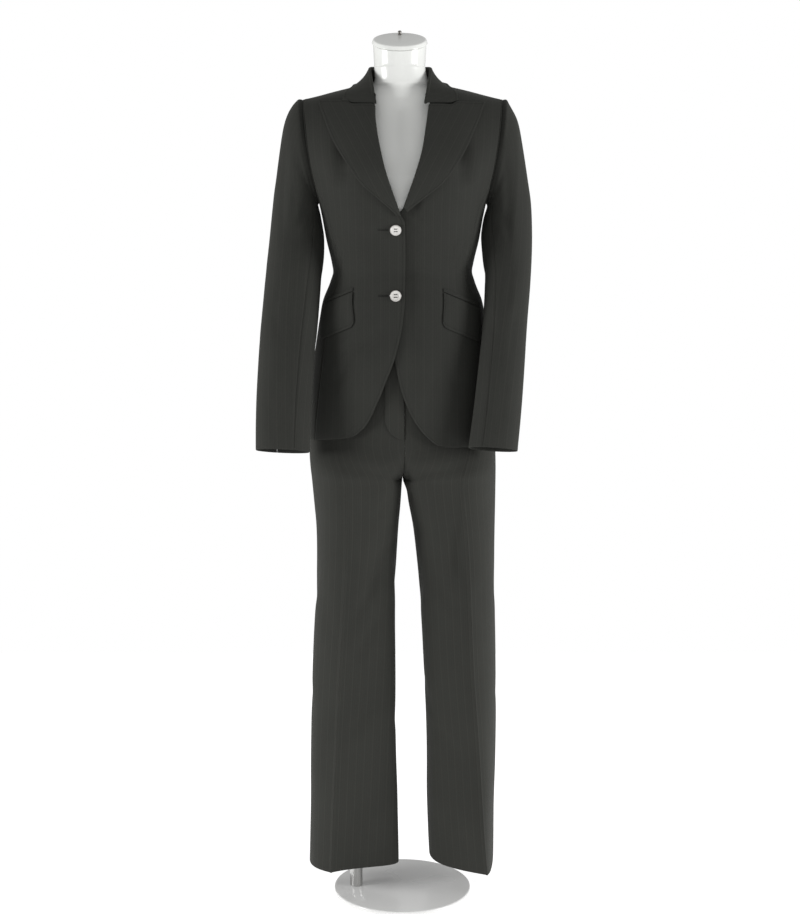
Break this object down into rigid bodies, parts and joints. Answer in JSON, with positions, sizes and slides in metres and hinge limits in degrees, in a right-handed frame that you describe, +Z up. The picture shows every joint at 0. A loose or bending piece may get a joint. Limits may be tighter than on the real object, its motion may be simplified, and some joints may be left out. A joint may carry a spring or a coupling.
{
  "type": "trouser suit on dress form",
  "caption": "Tailored suit of a peak-lapel jacket with vented cuffs and flap pockets over straight creased trousers, worn by a limbless dress form on a pole and round base.",
  "frame": {"origin": "centre of the base plate's underside, on the floor", "axes": "+Z up; the suit faces -Y; +X is the wearer's left"},
  "size_m": [0.4931, 0.2868, 1.6066],
  "materials": {
    "suit_wool": "matte",
    "pearl_button": "gloss",
    "horn_button": "satin",
    "form_gloss": "gloss",
    "stand_gloss": "gloss",
    "stand_steel": "brushed",
    "stud_metal": "satin"
  },
  "bodies": {
    "root": {"jacket_front_right": "suit_wool", "jacket_side_right": "suit_wool", "jacket_back_right": "suit_wool", "sleeve_top_right": "suit_wool", "sleeve_under_right": "suit_wool", "trouser_front_right": "suit_wool", "trouser_back_right": "suit_wool", "lapel_right": "suit_wool", "flap_right": "suit_wool", "jet_right": "suit_wool", "cuff_button_right_1": "horn_button", "cuff_button_right_2": "horn_button", "cuff_button_right_3": "horn_button", "jacket_front_left": "suit_wool", "jacket_side_left": "suit_wool", "jacket_back_left": "suit_wool", "sleeve_top_left": "suit_wool", "sleeve_under_left": "suit_wool", "trouser_front_left": "suit_wool", "trouser_back_left": "suit_wool", "lapel_left": "suit_wool", "flap_left": "suit_wool", "jet_left": "suit_wool", "cuff_button_left_1": "horn_button", "cuff_button_left_2": "horn_button", "cuff_button_left_3": "horn_button", "waistband": "suit_wool", "collar": "suit_wool", "fly": "suit_wool", "form_torso": "form_gloss", "neck_cap": "form_gloss", "neck_stud": "stud_metal", "base_plate": "stand_gloss", "stand_pole": "stand_steel", "front_button_1": "pearl_button", "front_button_2": "pearl_button"}
  },
  "joints": []
}
